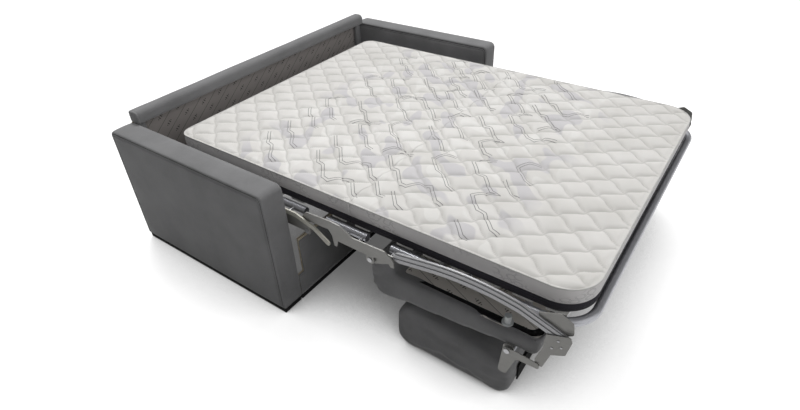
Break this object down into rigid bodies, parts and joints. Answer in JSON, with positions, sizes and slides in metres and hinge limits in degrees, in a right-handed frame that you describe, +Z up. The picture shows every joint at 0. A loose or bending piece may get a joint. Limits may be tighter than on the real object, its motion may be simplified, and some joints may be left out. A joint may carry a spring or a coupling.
{
  "type": "sofa bed",
  "caption": "Upholstered sofa bed shown open: box arms and low back around a pull-out folding steel frame with slats, a folding quilted mattress and hinged seat and back cushions.",
  "frame": {"origin": "on the floor, under the middle of the open sofa bed's bounding box", "axes": "+Z up, +Y towards the rear of the sofa, so the bed reaches out towards -Y; +X to the sofa's left-hand side as one sits in it"},
  "size_m": [1.832, 2.104, 0.652],
  "materials": {
    "grey_upholstery": "woven matt",
    "dark_lining": "smooth matt",
    "light_lining": "smooth matt",
    "black_plinth": "matt",
    "frame_timber": "planed",
    "mattress_cover": "quilted knit",
    "silver_tube": "silver powder coat",
    "plate_steel": "silver powder coat",
    "slat": "varnished",
    "clear_buffer": "clear moulded",
    "bright_fastener": "zinc plated"
  },
  "bodies": {
    "sofa": {"left_arm_cover": "grey_upholstery", "right_arm_cover": "grey_upholstery", "arm_frames": "frame_timber", "plinths": "black_plinth", "back_rail_pad": "grey_upholstery", "back_frame": "frame_timber", "back_rear_cover": "grey_upholstery", "back_lining": "dark_lining", "back_stiles": "grey_upholstery", "front_rail_board": "frame_timber", "front_rail_cover": "grey_upholstery", "left_base_plate": "plate_steel", "right_base_plate": "plate_steel", "base_pins": "bright_fastener", "base_screws": "bright_fastener"},
    "left_front_swing": {"left_front_swing_arm": "plate_steel"},
    "right_front_swing": {"right_front_swing_arm": "plate_steel"},
    "left_rear_swing": {"left_rear_swing_arm": "plate_steel"},
    "right_rear_swing": {"right_rear_swing_arm": "plate_steel"},
    "head_section": {"mattress_head": "mattress_cover", "mattress_fold_head": "mattress_cover", "left_head_tube": "silver_tube", "right_head_tube": "silver_tube", "head_slats": "slat", "head_cross_bars": "silver_tube", "left_head_plate": "plate_steel", "right_head_plate": "plate_steel", "rear_hangers": "plate_steel", "head_pins": "bright_fastener", "head_spacers": "bright_fastener", "mattress_stops": "silver_tube"},
    "middle_section": {"mattress_middle": "mattress_cover", "mattress_fold_foot": "mattress_cover", "middle_tubes": "silver_tube", "middle_slats": "slat", "left_middle_plate": "plate_steel", "right_middle_plate": "plate_steel", "middle_spacers": "bright_fastener"},
    "foot_section": {"mattress_foot": "mattress_cover", "left_foot_tube": "silver_tube", "right_foot_tube": "silver_tube", "foot_end_tube": "silver_tube", "foot_slats": "slat", "foot_cross_tube": "silver_tube", "left_arched_rail": "plate_steel", "right_arched_rail": "plate_steel", "foot_plates": "plate_steel", "foot_pins": "bright_fastener", "foot_spacers": "bright_fastener", "corner_brackets": "plate_steel", "drop_brackets": "plate_steel", "seat_cushion": "grey_upholstery", "seat_board": "light_lining", "seat_supports": "silver_tube", "seat_buffers": "clear_buffer", "seat_plates": "plate_steel"},
    "back_unit": {"back_cushion": "grey_upholstery", "back_end_board": "dark_lining", "back_cranks": "plate_steel", "back_hinge_bar": "silver_tube"}
  },
  "joints": [
    {"name": "swing_left_front", "type": "hinge", "parent": "sofa", "child": "left_front_swing", "pos_m": [-0.8, 0.22335, 0.16359], "axis": [-1, 0, 0], "range_deg": [0, 97]},
    {"name": "swing_left_rear", "type": "hinge", "parent": "sofa", "child": "left_rear_swing", "pos_m": [-0.8, 0.64335, 0.16359], "axis": [-1, 0, 0], "range_deg": [0, 97]},
    {"name": "swing_right_front", "type": "hinge", "parent": "sofa", "child": "right_front_swing", "pos_m": [0.8, 0.22335, 0.16359], "axis": [-1, 0, 0], "range_deg": [0, 97]},
    {"name": "swing_right_rear", "type": "hinge", "parent": "sofa", "child": "right_rear_swing", "pos_m": [0.8, 0.64335, 0.16359], "axis": [-1, 0, 0], "range_deg": [0, 97]},
    {"name": "head_level", "type": "hinge", "parent": "left_front_swing", "child": "head_section", "pos_m": [-0.8, 0.332, 0.402], "axis": [-1, 0, 0], "range_deg": [-97, 0]},
    {"name": "head_fold", "type": "hinge", "parent": "head_section", "child": "middle_section", "pos_m": [0, 0.022, 0.402], "axis": [-1, 0, 0], "range_deg": [0, 90], "deforming": ["mattress_fold_head"]},
    {"name": "foot_fold", "type": "hinge", "parent": "middle_section", "child": "foot_section", "pos_m": [0, -0.282, 0.402], "axis": [-1, 0, 0], "range_deg": [0, 90], "deforming": ["mattress_fold_foot"]},
    {"name": "back_fold", "type": "hinge", "parent": "foot_section", "child": "back_unit", "pos_m": [0, -0.828, 0.276], "axis": [-1, 0, 0], "range_deg": [0, 88]}
  ],
  "couplings": [
    {"joint": "swing_left_rear", "follows": "swing_left_front", "ratio": 1},
    {"joint": "swing_right_front", "follows": "swing_left_front", "ratio": 1},
    {"joint": "swing_right_rear", "follows": "swing_left_front", "ratio": 1},
    {"joint": "head_level", "follows": "swing_left_front", "ratio": -1},
    {"joint": "head_fold", "follows": "swing_left_front", "ratio": 0.92783},
    {"joint": "foot_fold", "follows": "swing_left_front", "ratio": 0.92783},
    {"joint": "back_fold", "follows": "swing_left_front", "ratio": 0.90722}
  ]
}
